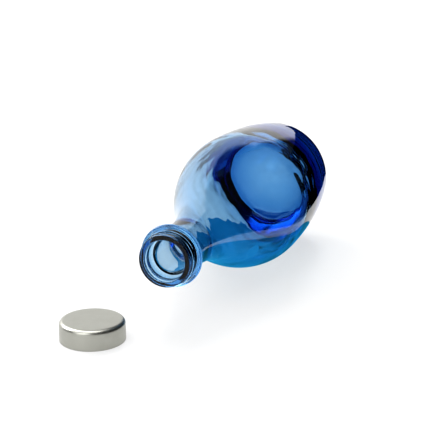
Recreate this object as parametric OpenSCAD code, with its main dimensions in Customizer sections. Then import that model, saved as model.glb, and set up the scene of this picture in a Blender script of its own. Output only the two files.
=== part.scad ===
// Round glass bottle with a screw cap. The bottle lies on its belly with
// its mouth towards -Y, and the cap is off and stands beside the mouth.

/* [Bottle body] */
// Length of the bottle from its foot to its lip
bottle_h = 265; // [240:1:300]
// Widest diameter, round the belly
belly_d = 103.6; // [92:0.2:120]
// Distance of the widest ring from the lip
belly_at = 174.6; // [160:0.2:185]
// How late the shoulder swells: 1 is an even S-curve
shoulder_lean = 1.25; // [1:0.05:1.4]
// Outside diameter of the foot
foot_d = 88.6; // [76:0.2:95]
// How late the belly turns in towards the foot: 2 is a parabola
heel_turn = 2; // [1.5:0.05:2.6]
// Thickness of the blown wall
wall_t = 3; // [2:0.1:4.5]
// Extra thickness of the wall where the shoulder leaves the neck
shoulder_extra_t = 3; // [0:0.25:5]

/* [Bottle base] */
// Width of the flat ring that the bottle stands on
foot_w = 4.8; // [4.4:0.2:8]
// Radius of the foot's outer edge
foot_round = 2.5; // [1:0.25:3]
// Height of the hollow pushed up into the base
push_up = 8; // [3:0.5:14]
// Thickness of the glass at the middle of the base
base_t = 10; // [5:0.5:14]
// Height of the inside floor's rim above the foot
floor_rim_h = 16; // [9:0.5:22]
// Diameter of the flat part of the inside floor
floor_d = 52; // [40:1:70]
// How soon the inside turns in towards its floor: 1 is a quarter ellipse
inside_turn = 0.85; // [0.6:0.05:1.6]

/* [Neck finish] */
// Outside diameter of the finish, at the root of its thread
finish_d = 35; // [33:0.2:38]
// Diameter of the mouth's bore
bore_d = 28; // [26:0.2:30]
// Depth of the moulded bore, measured from the lip
bore_depth = 12; // [9:0.5:18]
// Diameter inside the blown neck, past the moulded bore
throat_d = 24.6; // [23:0.2:28]
// Diameter of the bead below the thread
bead_d = 42.4; // [39:0.2:45]
// Distance of the bead's middle from the lip
bead_at = 14; // [12.8:0.1:18]
// Height of the bead along the bottle
bead_h = 3.8; // [2.4:0.2:5]
// Outside diameter of the neck below the bead
neck_d = 32.6; // [31.2:0.1:34.8]
// Distance from the lip to where the neck starts to swell
neck_end = 29; // [24:1:40]
// Height of the thread's ridge
thread_rise = 1.2; // [0.8:0.1:1.4]

/* [Cap] */
// Diameter of the cap at its rim
cap_d = 44.4; // [43.6:0.2:50]
// Height of the cap
cap_h = 14; // [12.6:0.1:18]
// Slope of the cap's side
cap_draft = 1; // [0:0.25:3]
// Radius of the rounded top edge
cap_edge_r = 2; // [1.5:0.1:3]
// Thickness of the steel sheet
shell_t = 0.5; // [0.3:0.05:0.8]
// Width of the rim's turned-in hem
hem_w = 1.6; // [1:0.1:1.6]
// Thickness of the liner under the cap's top
liner_top_t = 1; // [0.8:0.1:1.4]
// Thickness of the sealing disc
seal_t = 1.2; // [0.8:0.1:1.4]
// Depth of the groove that holds the sealing disc in the liner
seal_hold = 0.6; // [0.4:0.1:0.8]
// Radial play between the cap's liner and the thread
thread_play = 0.3; // [0.15:0.05:0.5]
// Play round the liner in its shell and round the disc in its liner
seat_play = 0.05; // [0.02:0.01:0.1]

/* [How it lies] */
// Distance of the cap's centre from the bottle's centre line
cap_side = 49.8; // [44:0.2:80]
// Distance of the cap's centre in front of the lip
cap_front = 4; // [0:0.2:60]

/* [Hidden] */
$fn = 96;

// Steps along the bottle's long curves and round its small edges
curve_steps = 30;
edge_steps = 8;

belly_r = belly_d / 2;
foot_r = foot_d / 2;
foot_in_r = foot_r - foot_w;
floor_r = floor_d / 2;
finish_r = finish_d / 2;
bore_r = bore_d / 2;
throat_r = throat_d / 2;
neck_r = neck_d / 2;
bead_r = bead_d / 2;
bead_round = bead_h / 2;
lip_round = (finish_r - bore_r) / 2;
lip_mid_r = (finish_r + bore_r) / 2;
bore_end_z = bottle_h - bore_depth;
bead_z = bottle_h - bead_at;
neck_end_z = bottle_h - neck_end;
belly_z = bottle_h - belly_at;
floor_mid_h = push_up + base_t;

thread_r = finish_r + thread_rise + thread_play;
cap_r = cap_d / 2;
hem_in_r = cap_r - shell_t - hem_w;
groove_r = thread_r + seal_hold;
seal_r = groove_r - seat_play;
liner_top_z = cap_h - shell_t;
seal_top_z = liner_top_z - liner_top_t;
seal_bottom_z = seal_top_z - seal_t;
liner_lead = 0.6;

// Points on an arc from one angle to another round a centre
function arc(centre, r, from, to, steps) =
  [for (i = [0 : steps]) let (a = from + (to - from) * i / steps)
    [centre[0] + r * cos(a), centre[1] + r * sin(a)]];

// The shoulder from the neck to the belly, t = 0 at the neck
function shoulder_point(t, r_neck, r_belly) =
  [r_neck + (r_belly - r_neck) * (1 - cos(180 * pow(t, shoulder_lean))) / 2,
   neck_end_z + (belly_z - neck_end_z) * t];

// The heel from the belly, w = 0, down to the foot, w = 1. At the foot it
// leans out by foot_lean, and an arc rounds it into the flat ring.
function heel_point(w) =
  [belly_r - (belly_r - foot_r) * pow(w, heel_turn), belly_z * (1 - w)];
foot_lean = atan(heel_turn * (belly_r - foot_r) / belly_z);
foot_edge = foot_round / tan((90 + foot_lean) / 2);
heel_end = 1 - foot_edge * cos(foot_lean) / belly_z;

// The inside from the belly down to the rim of its floor
function inside_point(a) =
  [floor_r + (belly_r - wall_t - floor_r) * pow(cos(a), inside_turn),
   belly_z - (belly_z - floor_rim_h) * sin(a)];

// A shallow dome across the base, from its rim to its middle
function dome_point(t, r_rim, z_rim, z_mid) =
  [r_rim * (1 - t), z_mid + (z_rim - z_mid) * (1 + cos(180 * t)) / 2];

foot_outline = [for (i = [0 : edge_steps])
  dome_point(1 - i / edge_steps, foot_in_r, 0, push_up)];
foot_edge_outline = arc([foot_r - foot_edge, foot_round], foot_round,
                        -90, -foot_lean, edge_steps);
heel_outline = [for (i = [1 : curve_steps])
  heel_point(heel_end * (1 - i / curve_steps))];
shoulder_outline = [for (i = [1 : curve_steps])
  shoulder_point(1 - i / curve_steps, neck_r, belly_r)];
bead_outline = concat(
  [[neck_r, bead_z - bead_h]],
  arc([bead_r - bead_round, bead_z], bead_round, -60, 90, edge_steps),
  [[finish_r, bead_z + bead_round]]);
lip_outline = arc([lip_mid_r, bottle_h - lip_round], lip_round, 0, 180, edge_steps);
outside = concat(foot_outline, foot_edge_outline, heel_outline, shoulder_outline,
                 bead_outline);

// The inside follows the outside. The wall is thickest by the neck, where the
// blown glass cooled first, and thins to wall_t at the belly.
function shoulder_wall(t) = wall_t + shoulder_extra_t * pow(1 - t, 3);
throat_outline = [[bore_r, bore_end_z],
                  [throat_r, bore_end_z - (bore_r - throat_r) * 2]];
inner_shoulder = [for (i = [1 : curve_steps])
  let (p = shoulder_point(i / curve_steps, neck_r, belly_r))
    [max(throat_r, p[0] - shoulder_wall(i / curve_steps)), p[1]]];
inner_heel = [for (i = [1 : curve_steps]) inside_point(90 * i / curve_steps)];
floor_outline = [for (i = [1 : edge_steps])
  dome_point(i / edge_steps, floor_r, floor_rim_h, floor_mid_h)];
inside = concat(throat_outline, inner_shoulder, inner_heel, floor_outline);

// The glass turns about its axis, so its mass centre is on the axis at
// mass_z, which follows from the sums over the edges of its outline
outline = concat(outside, lip_outline);
glass_edge = concat(outline, inside);
edge_n = len(glass_edge);
function edge_volume(p, q) =
  (q[1] - p[1]) * (p[0] * p[0] + p[0] * q[0] + q[0] * q[0]) / 3;
function edge_moment(p, q) = edge_volume(p, q) * p[1]
  + pow(q[1] - p[1], 2) * (p[0] * p[0] + 2 * p[0] * q[0] + 3 * q[0] * q[0]) / 12;
function sum(list, i = 0) = i < len(list) ? list[i] + sum(list, i + 1) : 0;
glass_volume = sum([for (i = [0 : edge_n - 1])
  edge_volume(glass_edge[i], glass_edge[(i + 1) % edge_n])]);
glass_moment = sum([for (i = [0 : edge_n - 1])
  edge_moment(glass_edge[i], glass_edge[(i + 1) % edge_n])]);
mass_z = glass_moment / glass_volume;

// A bottle on its side rolls its heavy base down until the mass centre is
// as low as it can be. The height of that centre over the table has one
// lowest value, so halving the range of tilts again and again finds it.
function mass_height(tilt) =
  max([for (p = outline) p[0] * cos(tilt) - (p[1] - mass_z) * sin(tilt)]);
function balanced(low, high, steps) =
  steps == 0 ? (low + high) / 2
  : mass_height((low + high) / 2 - 0.001) < mass_height((low + high) / 2 + 0.001)
    ? balanced(low, (low + high) / 2, steps - 1)
    : balanced((low + high) / 2, high, steps - 1);
lie_tilt = balanced(0, 8, 20);

// Where the lying bottle ends: its lowest, foremost and rearmost points
axis_lift = max([for (p = outline) p[0] * cos(lie_tilt) - p[1] * sin(lie_tilt)]);
lip_y = -bottle_h * cos(lie_tilt);
cap_y = lip_y - cap_front;
bottle_y_low = min([for (p = outline) -p[0] * sin(lie_tilt) - p[1] * cos(lie_tilt)]);
bottle_y_high = max([for (p = outline) p[0] * sin(lie_tilt) - p[1] * cos(lie_tilt)]);

// The origin is on the ground, under the middle of the bottle and its cap
x_low = min(-belly_r, -cap_side - cap_r);
x_high = max(belly_r, cap_r - cap_side);
y_low = min(bottle_y_low, cap_y - cap_r);
y_high = max(bottle_y_high, cap_y + cap_r);
origin_x = (x_low + x_high) / 2;
origin_y = (y_low + y_high) / 2;

// The cap's side and rounded top edge, in by some distance from its outside
function cap_side_r(z, inset) = cap_r - z * tan(cap_draft) - inset / cos(cap_draft);
edge_mid_z = cap_h - cap_edge_r;
edge_mid_r = cap_side_r(edge_mid_z, cap_edge_r);
function cap_outline(inset, z_rim) = concat(
  [[cap_side_r(z_rim, inset), z_rim]],
  arc([edge_mid_r, edge_mid_z], cap_edge_r - inset, cap_draft, 90, edge_steps),
  [[0, cap_h - inset]]);

module lying_bottle() {
  translate([-origin_x, -origin_y, axis_lift])
    rotate([90 - lie_tilt, 0, 0])
      children();
}

module standing_cap() {
  translate([-cap_side - origin_x, cap_y - origin_y, 0])
    children();
}

// Blown glass bottle: a thin wall, a thick pushed-up base and a moulded mouth
module glass_bottle() {
  color([0.08, 0.32, 0.72, 0.6])
    lying_bottle()
      rotate_extrude()
        polygon(glass_edge);
}

// Drawn steel shell, its rim turned in under the liner
module cap_shell() {
  color("silver")
    standing_cap()
      rotate_extrude()
        difference() {
          polygon(concat([[0, 0]], cap_outline(0, 0)));
          polygon(concat([[0, shell_t]], cap_outline(shell_t, shell_t)));
          square([hem_in_r, shell_t]);
        }
}

// Moulded plastic liner: it carries the thread and a groove for the disc
module cap_liner() {
  color("whitesmoke")
    standing_cap()
      rotate_extrude()
        difference() {
          polygon(concat([[0, shell_t]], cap_outline(shell_t + seat_play, shell_t)));
          polygon([[0, shell_t], [thread_r + liner_lead, shell_t],
                   [thread_r, shell_t + liner_lead], [thread_r, seal_bottom_z],
                   [groove_r, seal_bottom_z], [groove_r, seal_top_z],
                   [0, seal_top_z]]);
        }
}

// Soft disc that closes on the lip
module cap_seal() {
  color("gainsboro")
    standing_cap()
      translate([0, 0, seal_bottom_z])
        cylinder(r = seal_r, h = seal_t);
}

glass_bottle();
cap_shell();
cap_liner();
cap_seal();
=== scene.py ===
import math
import bpy
from mathutils import Matrix


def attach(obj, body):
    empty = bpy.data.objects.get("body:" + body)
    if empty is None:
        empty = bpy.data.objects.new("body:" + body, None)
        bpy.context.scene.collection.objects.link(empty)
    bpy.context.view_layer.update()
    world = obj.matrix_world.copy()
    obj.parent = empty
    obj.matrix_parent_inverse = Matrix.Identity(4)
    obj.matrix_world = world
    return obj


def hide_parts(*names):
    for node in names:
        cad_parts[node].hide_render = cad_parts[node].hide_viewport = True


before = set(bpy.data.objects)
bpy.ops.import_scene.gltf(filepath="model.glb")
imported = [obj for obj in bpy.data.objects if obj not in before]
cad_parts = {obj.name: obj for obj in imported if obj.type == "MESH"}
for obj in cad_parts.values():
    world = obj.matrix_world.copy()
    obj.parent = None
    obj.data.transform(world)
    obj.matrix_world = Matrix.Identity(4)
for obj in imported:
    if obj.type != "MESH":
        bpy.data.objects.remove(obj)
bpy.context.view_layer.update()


# ---------------------------------------------------------------- glass bottle
# One piece of blown soda-lime glass, coloured blue all through. The screw
# finish and the bead are moulded, the wall thins from the shoulder to the
# belly as it is blown, and the glass gathers in a thick, pushed-up base.

# Metres, with heights from the foot as the bottle stands upright
BODY_H, BELLY_R, BELLY_Z = 0.265, 0.0518, 0.0904
FOOT_R, FOOT_IN_R, FOOT_ROUND, PUSH_UP = 0.0443, 0.0395, 0.0025, 0.008
FLOOR_R, FLOOR_RIM_Z, FLOOR_MID_Z = 0.026, 0.016, 0.018
WALL_T, SHOULDER_EXTRA_T = 0.003, 0.003
SHOULDER_LEAN, HEEL_TURN, INSIDE_TURN = 1.25, 2.0, 0.85
NECK_R, NECK_END_Z = 0.0163, 0.236
BEAD_R, BEAD_Z, BEAD_ROUND, BEAD_FOOT_Z = 0.0212, 0.251, 0.0019, 0.2474
FINISH_R, FINISH_HIGH_Z, FINISH_RINGS, LIP_ROUND = 0.0175, 0.2633, 34, 0.0006
BORE_R, BORE_END_Z, THROAT_R, THROAT_Z = 0.014, 0.253, 0.0123, 0.2492
CORNER, FINE_CORNER, RING_GAP = 0.0004, 0.0001, 0.00001
THREAD_PITCH, THREAD_RISE, THREAD_HALF, THREAD_FADE = 0.00423, 0.0012, 0.0011, 0.08
THREAD_LOW_Z, THREAD_TURNS = 0.2566, 1.2
ON_WALL = 0.0001  # a point nearer to a wall than this belongs to it
GLASS_STEPS = 144


def deselect_all():
    if bpy.context.mode != "OBJECT":
        bpy.ops.object.mode_set(mode="OBJECT")
    bpy.ops.object.select_all(action="DESELECT")


def turned(name, path, steps):
    """A turned solid: a disc at the first (radius, height) of the path, whose
    edge is drawn out ring by ring until the last point closes it on the axis."""
    deselect_all()
    bpy.ops.mesh.primitive_circle_add(vertices=steps, radius=path[0][0], fill_type="TRIFAN",
                                      location=(0, 0, path[0][1]))
    piece = bpy.context.object
    piece.name = piece.data.name = name
    bpy.ops.object.transform_apply(location=True, rotation=True, scale=True)
    bpy.ops.object.mode_set(mode="EDIT")
    bpy.ops.mesh.select_all(action="SELECT")
    bpy.ops.mesh.region_to_loop()
    ring = path[0]
    for radius, height in path[1:]:
        bpy.ops.mesh.extrude_region()
        bpy.ops.transform.translate(value=(0, 0, height - ring[1]))
        if radius == 0:
            bpy.ops.mesh.merge(type="CENTER")
            break
        scale = radius / ring[0]
        bpy.ops.transform.resize(value=(scale, scale, 1), center_override=(0, 0, 0))
        ring = (radius, height)
    bpy.ops.mesh.select_all(action="SELECT")
    bpy.ops.mesh.normals_make_consistent(inside=False)
    bpy.ops.object.mode_set(mode="OBJECT")
    return piece


def arc_path(mid_r, mid_z, radius, start, end, steps):
    """An arc of the path round a middle, between two angles in degrees."""
    turns = [math.radians(start + (end - start) * i / steps) for i in range(steps + 1)]
    return [(mid_r + radius * math.cos(t), mid_z + radius * math.sin(t)) for t in turns]


def dome_path(rim_r, rim_z, mid_z, steps=16):
    """From the rim of a base or floor, which it leaves out, to its middle."""
    return [(rim_r * (1 - i / steps),
             mid_z + (rim_z - mid_z) * (1 + math.cos(math.pi * i / steps)) / 2)
            for i in range(1, steps + 1)]


def shoulder_path(wall, extra, least_r, steps=64):
    """From the neck to the belly, in by a wall that is thicker at the neck."""
    points = []
    for i in range(steps + 1):
        t = i / steps
        swell = (1 - math.cos(math.pi * t ** SHOULDER_LEAN)) / 2
        radius = NECK_R + (BELLY_R - NECK_R) * swell - wall - extra * (1 - t) ** 3
        points.append((max(least_r, radius), NECK_END_Z + (BELLY_Z - NECK_END_Z) * t))
    return points


def heel_path(steps=48):
    """From the foot's rounded edge up to the belly, which it leaves out."""
    lean = math.degrees(math.atan(HEEL_TURN * (BELLY_R - FOOT_R) / BELLY_Z))
    edge = FOOT_ROUND / math.tan(math.radians(90 + lean) / 2)
    end = 1 - edge * math.cos(math.radians(lean)) / BELLY_Z
    return (arc_path(FOOT_R - edge, FOOT_ROUND, FOOT_ROUND, -90, -lean, 12)
            + [(BELLY_R - (BELLY_R - FOOT_R) * (end * (1 - i / steps)) ** HEEL_TURN,
                BELLY_Z * (1 - end * (1 - i / steps))) for i in range(1, steps)])


def inside_path(steps=72):
    """From the belly down to the rim of the inside floor."""
    return [(FLOOR_R + (BELLY_R - WALL_T - FLOOR_R)
             * math.cos(math.pi / 2 * i / steps) ** INSIDE_TURN,
             BELLY_Z - (BELLY_Z - FLOOR_RIM_Z) * math.sin(math.pi / 2 * i / steps))
            for i in range(1, steps + 1)]


def wind_thread(piece, root_r, rise, low_z, turns):
    """Raise one ridge that winds right-handed round a turned wall and fades
    out at its ends. A negative rise winds it on the inside of a cap."""
    for vertex in piece.data.vertices:
        x, y, z = vertex.co
        radius = math.hypot(x, y)
        if abs(radius - root_r) > ON_WALL:
            continue
        turn = (math.atan2(y, x) / (2 * math.pi)) % 1
        best = 0
        for lap in range(-1, 3):
            along = turn + lap
            if 0 <= along <= turns:
                off = abs(z - (low_z + THREAD_PITCH * along)) / THREAD_HALF
                fade = min(1, along / THREAD_FADE, (turns - along) / THREAD_FADE)
                if off < 1:
                    best = max(best, fade * (math.cos(math.pi * off) + 1) / 2)
        vertex.co.x += x / radius * rise * best
        vertex.co.y += y / radius * rise * best


# The outside, from round the middle of the push-up, over the foot, the belly,
# the bead and the screw finish, to the inner edge of the lip
finish_low_z = BEAD_Z + BEAD_ROUND + CORNER
finish_h = FINISH_HIGH_Z - finish_low_z
lip_edge_z = BODY_H - LIP_ROUND
outer_path = dome_path(FOOT_IN_R, 0, PUSH_UP)[-2::-1] + [(FOOT_IN_R, 0)]
outer_path += heel_path() + shoulder_path(0, 0, 0)[::-1] + [(NECK_R, BEAD_FOOT_Z)]
outer_path += arc_path(BEAD_R - BEAD_ROUND, BEAD_Z, BEAD_ROUND, -60, 90, 18)
outer_path += [(FINISH_R + CORNER, BEAD_Z + BEAD_ROUND)]
outer_path += [(FINISH_R, finish_low_z + finish_h * i / FINISH_RINGS)
               for i in range(FINISH_RINGS)]
outer_path += [(FINISH_R, lip_edge_z - RING_GAP)]
outer_path += arc_path(FINISH_R - LIP_ROUND, lip_edge_z, LIP_ROUND, 0, 90, 8)
outer_path += arc_path(BORE_R + LIP_ROUND, lip_edge_z, LIP_ROUND, 90, 180, 8)

# The inside, from the bore down to the middle of the floor
inner_path = [(BORE_R, BORE_END_Z + CORNER), (BORE_R - FINE_CORNER, BORE_END_Z),
              (THROAT_R + FINE_CORNER, THROAT_Z + CORNER + FINE_CORNER), (THROAT_R, THROAT_Z)]
inner_path += shoulder_path(WALL_T, SHOULDER_EXTRA_T, THROAT_R)
inner_path += inside_path()
inner_path += dome_path(FLOOR_R, FLOOR_RIM_Z, FLOOR_MID_Z)
bottle = turned("bottle_glass", outer_path + inner_path, GLASS_STEPS)
wind_thread(bottle, FINISH_R, THREAD_RISE, THREAD_LOW_Z, THREAD_TURNS)

# Blown glass is smooth outside, where the mould held it, and uneven inside,
# most of all by the base: long waves 0.6 mm deep and short ones 0.12 mm deep.
# The rings follow the path, so those past the outer path are the inside.
WAVES_FULL_Z, WAVES_FADE_H, LEAST_WAVES, WAVES_END_Z = 0.080, 0.040, 0.06, 0.245
inside = bottle.vertex_groups.new(name="inside")
for vertex in list(bottle.data.vertices)[1 + GLASS_STEPS * len(outer_path):]:
    share = 1 - (vertex.co.z - WAVES_FULL_Z) / WAVES_FADE_H
    if vertex.co.z < WAVES_END_Z:
        inside.add([vertex.index], min(1, max(LEAST_WAVES, share)), "REPLACE")
for wave_size, wave_depth in ((0.011, 0.0006), (0.004, 0.00012)):
    clouds = bpy.data.textures.new("glass_waves", "CLOUDS")
    clouds.noise_scale = wave_size
    clouds.noise_depth = 0
    waves = bottle.modifiers.new("waves", "DISPLACE")
    waves.texture = clouds
    waves.texture_coords = "LOCAL"
    waves.vertex_group = "inside"
    waves.strength = wave_depth
    waves.mid_level = 0.5
    bpy.ops.object.modifier_apply(modifier="waves")
bottle.vertex_groups.clear()

# Laid on its belly, in balance, with its mouth to the front
LIE_TILT, LIE_PLACE = math.radians(2.0118), (0.0101, 0.1447779, 0.0489285)
SMOOTH_UP_TO = math.radians(50)
bottle.matrix_world = (Matrix.Translation(LIE_PLACE)
                       @ Matrix.Rotation(math.pi / 2 - LIE_TILT, 4, "X"))
bpy.ops.object.transform_apply(location=True, rotation=True, scale=True)
bpy.ops.object.shade_smooth_by_angle(angle=SMOOTH_UP_TO)


def rgb(code):
    """An sRGB hex colour as the linear values that a shader takes."""
    parts = [int(code[i:i + 2], 16) / 255 for i in (0, 2, 4)]
    linear = [p / 12.92 if p <= 0.04045 else ((p + 0.055) / 1.055) ** 2.4 for p in parts]
    return (*linear, 1)


def new_material(name):
    material = bpy.data.materials.new(name)
    material.use_nodes = True
    material.node_tree.nodes.clear()
    return material, material.node_tree


def node(tree, kind, sockets=None, **settings):
    """Add a node with its settings. Its sockets, by name or number, take a
    value each, or are linked to the output of an earlier node."""
    made = tree.nodes.new(kind)
    for key, value in settings.items():
        setattr(made, key, value)
    for key, value in (sockets or {}).items():
        if isinstance(value, bpy.types.NodeSocket):
            tree.links.new(value, made.inputs[key])
        else:
            made.inputs[key].default_value = value
    return made


# Blue soda-lime glass, fire-polished: clear, and sharp in reflection. It
# swallows red first and then green, so a thin wall is pale and the thick base
# deep blue. A blown wall is never flat: slow waves about 36 mm long bend what
# it reflects.
GLASS_BLUE, GLASS_DENSITY, SLOW_WAVE = "35BEE9", 140.0, 0.0357
blue_glass, tree = new_material("blown_blue_glass")
place = node(tree, "ShaderNodeTexCoord")
slow_waves = node(tree, "ShaderNodeTexNoise",
                  {"Vector": place.outputs["Object"], "Scale": 1 / SLOW_WAVE,
                   "Detail": 1.0, "Roughness": 0.4})
ripple = node(tree, "ShaderNodeBump",
              {"Height": slow_waves.outputs["Fac"], "Strength": 0.25, "Distance": 0.002})
glass = node(tree, "ShaderNodeBsdfPrincipled",
             {"Normal": ripple.outputs["Normal"], "Base Color": rgb("FFFFFF"),
              "Roughness": 0.0, "IOR": 1.5, "Transmission Weight": 1.0})
tint = node(tree, "ShaderNodeVolumeAbsorption",
            {"Color": rgb(GLASS_BLUE), "Density": GLASS_DENSITY})
node(tree, "ShaderNodeOutputMaterial",
     {"Surface": glass.outputs["BSDF"], "Volume": tint.outputs["Volume"]})
bottle.data.materials.append(blue_glass)
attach(bottle, "bottle")
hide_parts("glass_bottle")


# ------------------------------------------------------------------- steel cap
# A cup drawn from thin stainless sheet and polished to a satin, with a
# rounded top edge and its rim turned in to hold the liner.
CAP_PLACE = (-0.0397, -0.1240587, 0)
CAP_R, CAP_H, CAP_EDGE_R, SHELL_T = 0.0222, 0.014, 0.003, 0.0005
CAP_DRAFT = math.radians(1)
HEM_IN_R, HEM_ROUND, RIM_ROUND = 0.0201, 0.0001, 0.0003
CAP_STEPS = 128


def cap_side_r(z, inset):
    """The radius of the cap's drafted side at a height, in by an inset."""
    return CAP_R - z * math.tan(CAP_DRAFT) - inset / math.cos(CAP_DRAFT)


def cap_outline(inset, z_rim, steps=14):
    """Up the cap's side and over its rounded top edge, in by an inset."""
    mid_z = CAP_H - CAP_EDGE_R
    heights = [z_rim + (mid_z - z_rim) * i / 8 for i in range(8)]
    return ([(cap_side_r(z, inset), z) for z in heights]
            + arc_path(cap_side_r(mid_z, CAP_EDGE_R), mid_z, CAP_EDGE_R - inset,
                       math.degrees(CAP_DRAFT), 90, steps))


def put_by_mouth(piece):
    """Stand an upright piece of the cap in its place beside the mouth."""
    piece.location = CAP_PLACE
    bpy.ops.object.transform_apply(location=True, rotation=True, scale=True)
    bpy.ops.object.shade_smooth_by_angle(angle=SMOOTH_UP_TO)


# From the middle of the sheet's underside, down its inside, round the hem
# and up its outside to the middle of the top
inner = cap_outline(SHELL_T, SHELL_T)[::-1]
outer = cap_outline(0, RIM_ROUND)
path = [(inner[0][0] * 0.5, CAP_H - SHELL_T)] + inner
path += [(HEM_IN_R, SHELL_T), (HEM_IN_R, HEM_ROUND), (HEM_IN_R + HEM_ROUND, 0),
         (CAP_R - RIM_ROUND, 0)]
path += outer + [(outer[-1][0] * share, CAP_H) for share in (0.8, 0.6, 0.4, 0.2, 0)]
cap = turned("cap_steel", path, CAP_STEPS)
put_by_mouth(cap)

# Satin stainless steel: warm grey, with fine turned brush lines that spread a
# highlight but leave it in its place, and patches that are a little duller.
# The real lines are some 0.05 mm apart, too fine to show, so they are drawn
# 0.3 mm apart.
STEEL_GREY, BRUSH_LINE, DULL_PATCH = "B8B8B1", 0.000303, 0.00556
satin_steel, tree = new_material("satin_stainless_steel")
place = node(tree, "ShaderNodeTexCoord")
centred = node(tree, "ShaderNodeMapping",
               {"Vector": place.outputs["Object"],
                "Location": (-CAP_PLACE[0], -CAP_PLACE[1], 0)})
across = node(tree, "ShaderNodeVectorMath", {0: centred.outputs["Vector"], 1: (1, 1, 0)},
              operation="MULTIPLY")
span = node(tree, "ShaderNodeVectorMath", {0: across.outputs["Vector"]}, operation="LENGTH")
axes = node(tree, "ShaderNodeSeparateXYZ", {"Vector": centred.outputs["Vector"]})
lines_at = node(tree, "ShaderNodeCombineXYZ",
                {"X": span.outputs["Value"], "Z": axes.outputs["Z"]})
brush = node(tree, "ShaderNodeTexNoise",
             {"Vector": lines_at.outputs["Vector"], "Scale": 1 / BRUSH_LINE,
              "Detail": 2.0, "Roughness": 0.6})
patches = node(tree, "ShaderNodeTexNoise",
               {"Vector": centred.outputs["Vector"], "Scale": 1 / DULL_PATCH, "Detail": 3.0})
satin = node(tree, "ShaderNodeMapRange",
             {"Value": patches.outputs["Fac"], "From Min": 0.3, "From Max": 0.7,
              "To Min": 0.33, "To Max": 0.41})
grain = node(tree, "ShaderNodeBump",
             {"Height": brush.outputs["Fac"], "Strength": 0.08, "Distance": 0.0001})
steel = node(tree, "ShaderNodeBsdfPrincipled",
             {"Roughness": satin.outputs["Result"], "Normal": grain.outputs["Normal"],
              "Base Color": rgb(STEEL_GREY), "Metallic": 1.0})
node(tree, "ShaderNodeOutputMaterial", {"Surface": steel.outputs["BSDF"]})
cap.data.materials.append(satin_steel)
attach(cap, "cap")
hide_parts("cap_shell")


# ------------------------------------------------------------------- cap liner
# A moulded polypropylene cup, pressed into the steel cup. It carries the
# thread that grips the finish, and a groove in its top holds the seal.
LINER_R, GROOVE_R, SEAL_LOW_Z, SEAL_HIGH_Z = 0.019, 0.0196, 0.0113, 0.0125
LINER_LEAD, LINER_PLAY, LINER_RINGS = 0.0006, 0.00005, 34
CAP_THREAD_LOW_Z = 0.0032
lead_z = SHELL_T + LINER_LEAD
path = [(GROOVE_R * 0.5, SEAL_HIGH_Z), (GROOVE_R, SEAL_HIGH_Z), (GROOVE_R, SEAL_LOW_Z)]
path += [(LINER_R, SEAL_LOW_Z - (SEAL_LOW_Z - lead_z) * i / LINER_RINGS)
         for i in range(LINER_RINGS + 1)]
path += [(LINER_R + LINER_LEAD, SHELL_T)]
path += cap_outline(SHELL_T + LINER_PLAY, SHELL_T + HEM_ROUND)
path += [(path[-1][0] * 0.5, path[-1][1]), (0, path[-1][1])]
liner = turned("cap_liner_moulded", path, CAP_STEPS)
wind_thread(liner, LINER_R, -THREAD_RISE, CAP_THREAD_LOW_Z, THREAD_TURNS)
put_by_mouth(liner)

# Moulded polypropylene: milky white, waxy and a little soft in its shine,
# with slow clouding in its colour. Its mould has an eroded texture with a
# grain of some 0.05 mm, too fine to show, so it is drawn 0.33 mm wide.
MILK_WHITE, CLEAR_WHITE, ERODED_GRAIN, CLOUD = "DFDFDA", "EBEBE8", 0.00033, 0.0067
milky_plastic, tree = new_material("moulded_polypropylene")
place = node(tree, "ShaderNodeTexCoord")
eroded = node(tree, "ShaderNodeTexNoise",
              {"Vector": place.outputs["Object"], "Scale": 1 / ERODED_GRAIN, "Detail": 2.0})
clouding = node(tree, "ShaderNodeTexNoise",
                {"Vector": place.outputs["Object"], "Scale": 1 / CLOUD, "Detail": 2.0})
shades = node(tree, "ShaderNodeMix",
              {"Factor": clouding.outputs["Fac"], "A": rgb(MILK_WHITE), "B": rgb(CLEAR_WHITE)},
              data_type="RGBA")
skin = node(tree, "ShaderNodeBump",
            {"Height": eroded.outputs["Fac"], "Strength": 0.12, "Distance": 0.0001})
plastic = node(tree, "ShaderNodeBsdfPrincipled",
               {"Base Color": shades.outputs["Result"], "Normal": skin.outputs["Normal"],
                "Roughness": 0.42, "IOR": 1.49, "Subsurface Weight": 0.15,
                "Subsurface Radius": (0.002, 0.002, 0.002)})
node(tree, "ShaderNodeOutputMaterial", {"Surface": plastic.outputs["BSDF"]})
liner.data.materials.append(milky_plastic)
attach(liner, "cap")
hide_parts("cap_liner")


# -------------------------------------------------------------------- cap seal
# A soft silicone disc, punched from sheet and snapped into the liner's
# groove, that closes on the lip.
SEAL_R, SEAL_EDGE = 0.01955, 0.0001
path = [(SEAL_R * 0.5, SEAL_LOW_Z), (SEAL_R - SEAL_EDGE, SEAL_LOW_Z),
        (SEAL_R, SEAL_LOW_Z + SEAL_EDGE), (SEAL_R, SEAL_HIGH_Z - SEAL_EDGE),
        (SEAL_R - SEAL_EDGE, SEAL_HIGH_Z), (SEAL_R * 0.5, SEAL_HIGH_Z), (0, SEAL_HIGH_Z)]
seal = turned("cap_seal_disc", path, CAP_STEPS)
put_by_mouth(seal)

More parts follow.
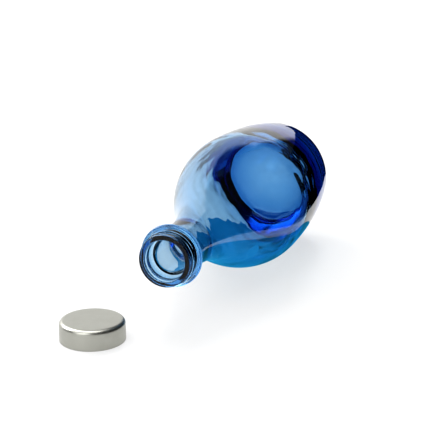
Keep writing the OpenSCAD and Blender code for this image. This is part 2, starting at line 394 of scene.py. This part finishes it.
# Silicone rubber: pale grey, soft and matt, with the faint print that the
# lip leaves where it has closed on it, a ring 3.4 mm wide.
PRINT_GREY, SEAL_GREY = "C4C6C8", "D0D2D3"
PRINT_MID_R, PRINT_FLAT, PRINT_HALF = (FINISH_R + BORE_R) / 2, 0.0004, 0.0017
silicone, tree = new_material("punched_silicone_sheet")
place = node(tree, "ShaderNodeTexCoord")
centred = node(tree, "ShaderNodeMapping",
               {"Vector": place.outputs["Object"],
                "Location": (-CAP_PLACE[0], -CAP_PLACE[1], 0)})
across = node(tree, "ShaderNodeVectorMath", {0: centred.outputs["Vector"], 1: (1, 1, 0)},
              operation="MULTIPLY")
span = node(tree, "ShaderNodeVectorMath", {0: across.outputs["Vector"]}, operation="LENGTH")
from_mid = node(tree, "ShaderNodeMath", {0: span.outputs["Value"], 1: PRINT_MID_R},
                operation="SUBTRACT")
off_print = node(tree, "ShaderNodeMath", {0: from_mid.outputs["Value"]}, operation="ABSOLUTE")
unmarked = node(tree, "ShaderNodeMapRange",
                {"Value": off_print.outputs["Value"], "From Min": PRINT_FLAT,
                 "From Max": PRINT_HALF, "To Min": 0.0, "To Max": 1.0},
                interpolation_type="SMOOTHSTEP")
shades = node(tree, "ShaderNodeMix",
              {"Factor": unmarked.outputs["Result"], "A": rgb(PRINT_GREY), "B": rgb(SEAL_GREY)},
              data_type="RGBA")
dent = node(tree, "ShaderNodeBump",
            {"Height": unmarked.outputs["Result"], "Strength": 0.6, "Distance": 0.0002})
rubber = node(tree, "ShaderNodeBsdfPrincipled",
              {"Base Color": shades.outputs["Result"], "Normal": dent.outputs["Normal"],
               "Roughness": 0.55, "IOR": 1.41})
node(tree, "ShaderNodeOutputMaterial", {"Surface": rubber.outputs["BSDF"]})
seal.data.materials.append(silicone)
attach(seal, "cap")
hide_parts("cap_seal")


# ----------------------------------------------------- floor, light and camera
# A white light table under a soft light from above and from the left, and a
# lit board behind, in a dark room, which the glass shows as its dark edges.
CAMERA_TURN, CAMERA_DIP = 0.3196, 0.2947
CAMERA_PLACE = (0.269513, -0.800033, 0.310136)

# Matt white acrylic, lit from inside: it keeps a shadow on it light grey
TABLE_SHADE, TABLE_GLOW = "7E7E7E", 0.57
deselect_all()
bpy.ops.mesh.primitive_plane_add(size=12, location=(0, 0, 0))
floor = bpy.context.object
floor.name = "light_table"
white_acrylic, tree = new_material("matt_white_acrylic")
table = node(tree, "ShaderNodeBsdfPrincipled",
             {"Base Color": rgb(TABLE_SHADE), "Roughness": 0.9, "Specular IOR Level": 0.2,
              "Emission Color": rgb("FFFFFF"), "Emission Strength": TABLE_GLOW})
node(tree, "ShaderNodeOutputMaterial", {"Surface": table.outputs["BSDF"]})
floor.data.materials.append(white_acrylic)

# A low strip of black felt to the right, out of every direct view: only glass
# and metal show it, as the dark right-hand edge of the bottle. Each end is so
# many metres to the camera's right and so many away from it.
STRIP_NEAR, STRIP_FAR, STRIP_H = (0.100, 0.560), (0.330, 3.000), 0.130
STRIP_CORNERS = ((STRIP_NEAR, 0), (STRIP_FAR, 0), (STRIP_NEAR, STRIP_H), (STRIP_FAR, STRIP_H))
deselect_all()
bpy.ops.mesh.primitive_plane_add(size=1, location=(0, 0, 0))
strip = bpy.context.object
strip.name = "black_strip"
for vertex, ((right, away), height) in zip(strip.data.vertices, STRIP_CORNERS):
    vertex.co = (CAMERA_PLACE[0] + right * math.cos(CAMERA_TURN) - away * math.sin(CAMERA_TURN),
                 CAMERA_PLACE[1] + right * math.sin(CAMERA_TURN) + away * math.cos(CAMERA_TURN),
                 height)
black_felt, tree = new_material("black_felt")
felt = node(tree, "ShaderNodeBsdfPrincipled",
            {"Base Color": rgb("000000"), "Roughness": 1.0, "Specular IOR Level": 0.0})
node(tree, "ShaderNodeOutputMaterial", {"Surface": felt.outputs["BSDF"]})
strip.data.materials.append(black_felt)
strip.visible_camera = strip.visible_diffuse = strip.visible_shadow = False

# A painted blue shadow: a glowing sheet flat on the table under the bottle, out
# of every direct view too. It paints the blue-lit shadow that the glass throws on
# the table below it, and deepens the lower side of the glass, which shows it.
PAINTED_SHADOW_BLUE, PAINTED_SHADOW_LIFT, PAINTED_SHADOW_ROUND = "3097BF", 0.0002, 0.020
PAINTED_SHADOW_EDGE = ((-0.030, 0.030), (-0.036, 0.060), (-0.044, 0.088), (-0.053, 0.105),
            (-0.053, 0.122), (-0.045, 0.140), (-0.030, 0.165), (0.050, 0.165),
            (0.085, 0.130), (0.085, 0.030), (0.060, -0.030), (-0.008, -0.030))
deselect_all()
bpy.ops.mesh.primitive_circle_add(vertices=len(PAINTED_SHADOW_EDGE), radius=1, fill_type="NGON")
painted_shadow = bpy.context.object
painted_shadow.name = "painted_blue_shadow"
for vertex, (x, y) in zip(painted_shadow.data.vertices, PAINTED_SHADOW_EDGE):
    vertex.co = (x, y, PAINTED_SHADOW_LIFT)
bpy.ops.object.mode_set(mode="EDIT")
bpy.ops.mesh.select_all(action="SELECT")
bpy.ops.mesh.bevel(affect="VERTICES", offset=PAINTED_SHADOW_ROUND, segments=6)
bpy.ops.object.mode_set(mode="OBJECT")
# Its glow is painted light: the blue shadow under the bottle, seen only through the glass
painted_shadow_glow, tree = new_material("painted_blue_shadow_glow")
glow = node(tree, "ShaderNodeEmission", {"Color": rgb(PAINTED_SHADOW_BLUE), "Strength": 1.0})
node(tree, "ShaderNodeOutputMaterial", {"Surface": glow.outputs["Emission"]})
painted_shadow.data.materials.append(painted_shadow_glow)
painted_shadow.visible_camera = painted_shadow.visible_diffuse = painted_shadow.visible_shadow = False

# A lamp behind, out of all reflections, throws the soft grey shadow forwards
shadow_lamp = bpy.data.objects.new("shadow_lamp", bpy.data.lights.new("shadow_lamp", "SUN"))
bpy.context.collection.objects.link(shadow_lamp)
shadow_lamp.data.energy = 1.3
shadow_lamp.data.angle = math.radians(16)
shadow_lamp.rotation_euler = (-0.70, 0, CAMERA_TURN - 0.12)
shadow_lamp.visible_glossy = shadow_lamp.visible_transmission = False

# The room, seen from the camera's side: x is right, y away and z up
DARK_ROOM, BACKDROP = 0.05, 1.3
world = bpy.data.worlds.new("studio")
world.use_nodes = True
tree = world.node_tree
tree.nodes.clear()
place = node(tree, "ShaderNodeTexCoord")
facing = node(tree, "ShaderNodeMapping",
              {"Vector": place.outputs["Generated"], "Rotation": (0, 0, -CAMERA_TURN)})

# The lit board, between two bearings and two heights in degrees, with soft
# edges. Each row is a measure, a limit of it, and the share of light before
# and after that limit.
BOARD_LIGHT, BOARD_EDGE = 0.9, 5
axes = node(tree, "ShaderNodeSeparateXYZ", {"Vector": facing.outputs["Vector"]})
bearing = node(tree, "ShaderNodeMath", {0: axes.outputs["X"], 1: axes.outputs["Y"]},
               operation="ARCTAN2")
height = node(tree, "ShaderNodeMath", {0: axes.outputs["Z"]}, operation="ARCSINE")
light = BOARD_LIGHT
for measure, limit, before, after in ((bearing, -70, 0, 1), (bearing, 18, 1, 0),
                                      (height, -2, 0, 1), (height, 42, 1, 0)):
    side = node(tree, "ShaderNodeMapRange",
                {"Value": measure.outputs["Value"],
                 "From Min": math.radians(limit - BOARD_EDGE / 2),
                 "From Max": math.radians(limit + BOARD_EDGE / 2),
                 "To Min": before, "To Max": after}, interpolation_type="SMOOTHSTEP")
    light = node(tree, "ShaderNodeMath", {0: light, 1: side.outputs["Result"]},
                 operation="MULTIPLY").outputs["Value"]

# Three round soft lamps, high on the left, overhead, and behind the camera on
# the left: the direction of each, the cosines of the angles from it at which
# its light starts and is full, and its strength.
for direction, start, full, strength in (((-0.64, 0.30, 0.707), 0.86, 0.93, 3.2),
                                         ((0, -0.1, 1), 0.90, 0.96, 2.9),
                                         ((-0.45, -0.75, 0.45), 0.85, 0.97, 2.2)):
    length = math.hypot(*direction)
    along = node(tree, "ShaderNodeVectorMath",
                 {0: facing.outputs["Vector"], 1: [d / length for d in direction]},
                 operation="DOT_PRODUCT")
    lamp = node(tree, "ShaderNodeMapRange",
                {"Value": along.outputs["Value"], "From Min": start, "From Max": full,
                 "To Min": 0.0, "To Max": strength}, interpolation_type="SMOOTHSTEP")
    light = node(tree, "ShaderNodeMath", {0: light, 1: lamp.outputs["Result"]},
                 operation="ADD").outputs["Value"]

room = node(tree, "ShaderNodeMath", {0: light, 1: DARK_ROOM}, operation="ADD")
studio = node(tree, "ShaderNodeBackground",
              {"Color": rgb("FFFFFF"), "Strength": room.outputs["Value"]})
white = node(tree, "ShaderNodeBackground", {"Color": rgb("FFFFFF"), "Strength": BACKDROP})
sight = node(tree, "ShaderNodeLightPath")
seen = node(tree, "ShaderNodeMixShader",
            {0: sight.outputs["Is Camera Ray"], 1: studio.outputs["Background"],
             2: white.outputs["Background"]})
node(tree, "ShaderNodeOutputWorld", {"Surface": seen.outputs["Shader"]})
bpy.context.scene.world = world
bpy.context.scene.view_settings.view_transform = "Standard"
bpy.context.scene.view_settings.look = "High Contrast"
bpy.context.scene.view_settings.exposure = -0.2

# A long lens, from the front right and looking down on the mouth by 17 degrees
camera = bpy.data.objects.new("camera", bpy.data.cameras.new("camera"))
bpy.context.collection.objects.link(camera)
camera.data.sensor_width = 36
camera.data.lens = 100.465
camera.location = CAMERA_PLACE
camera.rotation_euler = (math.pi / 2 - CAMERA_DIP, 0, CAMERA_TURN)
bpy.context.scene.camera = camera
